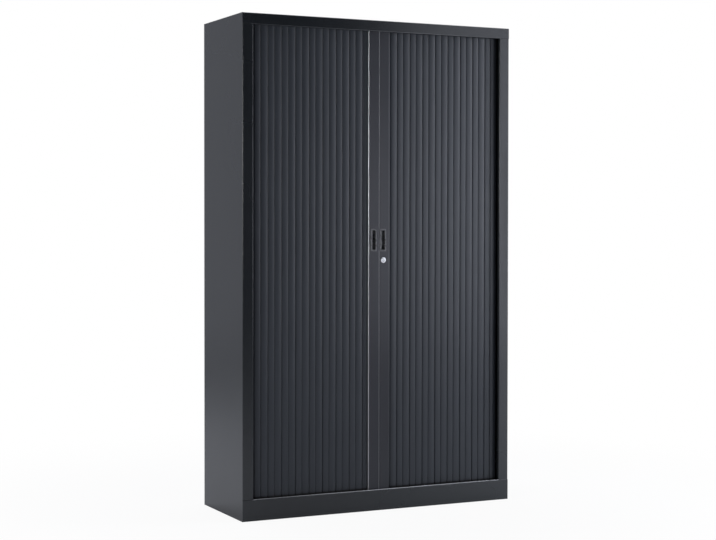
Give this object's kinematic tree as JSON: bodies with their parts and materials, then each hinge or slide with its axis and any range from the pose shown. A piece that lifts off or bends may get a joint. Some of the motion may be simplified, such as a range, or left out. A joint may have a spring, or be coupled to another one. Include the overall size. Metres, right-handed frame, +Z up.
{
  "type": "tambour door cupboard",
  "caption": "Tall dark grey steel cupboard with two ribbed tambour shutters that slide sideways from a lockable middle, with shelves inside.",
  "frame": {"origin": "on the floor, at the middle of the width and of the depth", "axes": "+Z up, X across the width with +X to the right seen from the front, -Y towards the front"},
  "size_m": [1.2, 0.43, 1.98],
  "materials": {
    "outer_paint": "satin powder coat, dark grey",
    "inner_paint": "satin powder coat, dark grey",
    "curtain": "ribbed extruded slats, dark grey",
    "lead": "satin painted extrusion, dark grey",
    "handle": "moulded, dark grey",
    "guide_plastic": "smooth moulded",
    "foot_plastic": "moulded, black",
    "lock_chrome": "polished",
    "zinc_steel": "zinc plated",
    "buffer_rubber": "matt black"
  },
  "bodies": {
    "cupboard": {"back_panel": "outer_paint", "back_rivets": "zinc_steel", "ceiling_panel": "inner_paint", "floor_panel": "inner_paint", "floor_stiffener": "inner_paint", "foot_brackets": "inner_paint", "foot_nuts": "zinc_steel", "front_plinth": "outer_paint", "inner_back_panel": "inner_paint", "left_bottom_track": "guide_plastic", "left_inner_panel": "inner_paint", "left_side_panel": "outer_paint", "left_stop_buffer": "buffer_rubber", "left_top_track": "guide_plastic", "right_bottom_track": "guide_plastic", "right_inner_panel": "inner_paint", "right_side_panel": "outer_paint", "right_stop_buffer": "buffer_rubber", "right_top_track": "guide_plastic", "shelf_clips": "zinc_steel", "top_panel": "outer_paint", "top_stiffener": "inner_paint", "left_slat_1": "curtain", "left_slat_2": "curtain", "left_slat_3": "curtain", "left_slat_4": "curtain", "left_slat_5": "curtain", "left_slat_6": "curtain", "left_slat_7": "curtain", "left_slat_8": "curtain", "left_slat_9": "curtain", "left_slat_10": "curtain", "right_slat_1": "curtain", "right_slat_2": "curtain", "right_slat_3": "curtain", "right_slat_4": "curtain", "right_slat_5": "curtain", "right_slat_6": "curtain", "right_slat_7": "curtain", "right_slat_8": "curtain", "right_slat_9": "curtain"},
    "left_shutter": {"left_lead_profile": "lead", "left_lead_glides": "guide_plastic", "left_handle": "handle", "lock_keeper": "zinc_steel"},
    "right_shutter": {"right_lead_profile": "lead", "right_lead_glides": "guide_plastic", "right_handle": "handle", "lock_housing": "lock_chrome"},
    "lock_bolt": {"lock_plug": "lock_chrome", "lock_hook": "zinc_steel"},
    "shelf_1_body": {"shelf_1": "inner_paint"},
    "shelf_2_body": {"shelf_2": "inner_paint"},
    "shelf_3_body": {"shelf_3": "inner_paint"},
    "shelf_4_body": {"shelf_4": "inner_paint"},
    "foot_front_left_body": {"foot_front_left": "foot_plastic"},
    "foot_front_right_body": {"foot_front_right": "foot_plastic"},
    "foot_back_left_body": {"foot_back_left": "foot_plastic"},
    "foot_back_right_body": {"foot_back_right": "foot_plastic"}
  },
  "joints": [
    {"name": "left_shutter_slide", "type": "slide", "parent": "cupboard", "child": "left_shutter", "axis": [-1, 0, 0], "range_m": [0, 0.5], "deforming": ["left_slat_1", "left_slat_2", "left_slat_3", "left_slat_4", "left_slat_5", "left_slat_6", "left_slat_7", "left_slat_8", "left_slat_9", "left_slat_10"]},
    {"name": "right_shutter_slide", "type": "slide", "parent": "cupboard", "child": "right_shutter", "axis": [1, 0, 0], "range_m": [0, 0.5], "deforming": ["right_slat_1", "right_slat_2", "right_slat_3", "right_slat_4", "right_slat_5", "right_slat_6", "right_slat_7", "right_slat_8", "right_slat_9"]},
    {"name": "lock_turn", "type": "hinge", "parent": "right_shutter", "child": "lock_bolt", "pos_m": [0.019, -0.19, 1.014], "axis": [0, 1, 0], "range_deg": [0, 90]},
    {"name": "shelf_1_lift", "type": "slide", "parent": "cupboard", "child": "shelf_1_body", "axis": [0, 0, 1], "range_m": [0, 0.05]},
    {"name": "shelf_2_lift", "type": "slide", "parent": "cupboard", "child": "shelf_2_body", "axis": [0, 0, 1], "range_m": [0, 0.05]},
    {"name": "shelf_3_lift", "type": "slide", "parent": "cupboard", "child": "shelf_3_body", "axis": [0, 0, 1], "range_m": [0, 0.05]},
    {"name": "shelf_4_lift", "type": "slide", "parent": "cupboard", "child": "shelf_4_body", "axis": [0, 0, 1], "range_m": [0, 0.05]},
    {"name": "foot_front_left_level", "type": "slide", "parent": "cupboard", "child": "foot_front_left_body", "axis": [0, 0, 1], "range_m": [-0.015, 0]},
    {"name": "foot_front_right_level", "type": "slide", "parent": "cupboard", "child": "foot_front_right_body", "axis": [0, 0, 1], "range_m": [-0.015, 0]},
    {"name": "foot_back_left_level", "type": "slide", "parent": "cupboard", "child": "foot_back_left_body", "axis": [0, 0, 1], "range_m": [-0.015, 0]},
    {"name": "foot_back_right_level", "type": "slide", "parent": "cupboard", "child": "foot_back_right_body", "axis": [0, 0, 1], "range_m": [-0.015, 0]}
  ]
}
